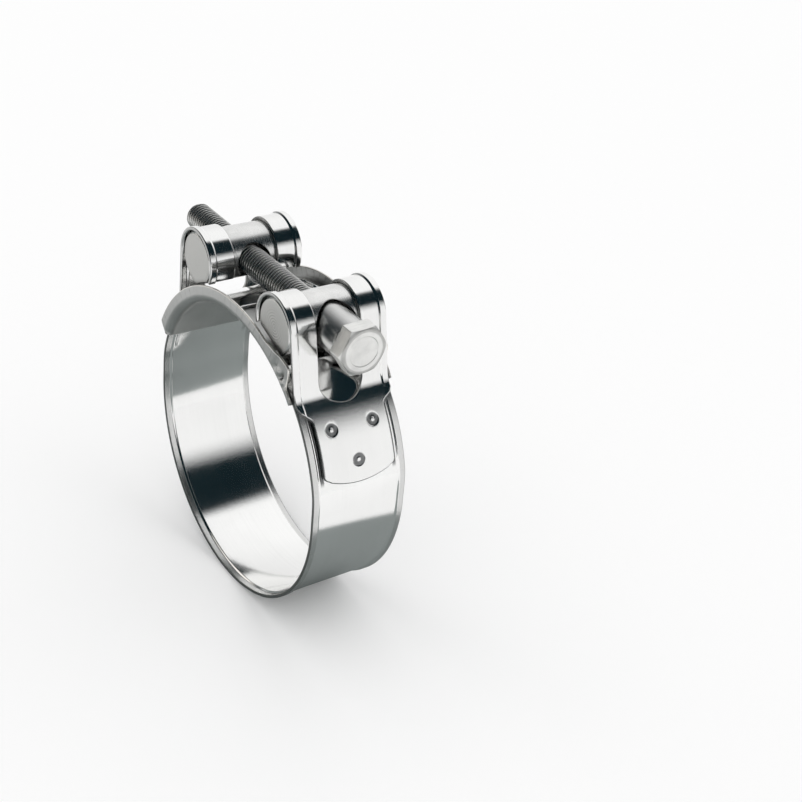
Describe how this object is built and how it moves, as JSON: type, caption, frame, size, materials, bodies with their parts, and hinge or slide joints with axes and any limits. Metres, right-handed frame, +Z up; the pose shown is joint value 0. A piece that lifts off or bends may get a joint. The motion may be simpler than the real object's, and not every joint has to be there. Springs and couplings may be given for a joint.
{
  "type": "single bolt hose clamp",
  "caption": "Heavy-duty hose clamp: a steel band with a bridge plate, and two folded brackets on pins drawn together by one hexagon bolt.",
  "frame": {"origin": "centre of the hose's bore, at the middle of the band's width", "axes": "+Y along the hose's axis, +X towards the bolt's head, +Z up through the gap in the band"},
  "size_m": [0.0818, 0.0274, 0.0876],
  "materials": {
    "polished_sheet": "bright rolled stainless strip",
    "matt_sheet": "dull rolled stainless strip",
    "turned_steel": "fine turned and ground steel",
    "bolt_steel": "satin steel with a rolled thread"
  },
  "bodies": {
    "ring": {"band": "polished_sheet", "bridge": "matt_sheet", "front_bracket": "polished_sheet"},
    "rear_end": {"rear_bracket": "polished_sheet"},
    "front_trunnion": {"front_pin": "turned_steel", "spacer": "turned_steel"},
    "rear_trunnion": {"rear_pin": "turned_steel"},
    "bolt": {"bolt": "bolt_steel"}
  },
  "joints": [
    {"name": "bolt_spin", "type": "hinge", "parent": "front_trunnion", "child": "bolt", "pos_m": [0.0162, 0, 0.0419], "axis": [-1, 0, 0], "range_deg": [0, 5400]},
    {"name": "front_swivel", "type": "hinge", "parent": "ring", "child": "front_trunnion", "pos_m": [0.0162, 0, 0.0419], "axis": [0, 1, 0], "range_deg": [0, 7.15]},
    {"name": "ring_close", "type": "hinge", "parent": "ring", "child": "rear_end", "pos_m": [-0.00235, 0, -0.0173], "axis": [0, 1, 0], "range_deg": [0, 14.3], "deforming": ["band", "bridge"]},
    {"name": "rear_swing", "type": "hinge", "parent": "rear_end", "child": "rear_trunnion", "pos_m": [-0.0209, 0, 0.0419], "axis": [0, 1, 0], "range_deg": [-7.15, 0]}
  ],
  "couplings": [
    {"joint": "ring_close", "follows": "bolt_spin", "ratio": 0.0026444},
    {"joint": "front_swivel", "follows": "bolt_spin", "ratio": 0.0013222},
    {"joint": "rear_swing", "follows": "bolt_spin", "ratio": -0.0013222}
  ]
}
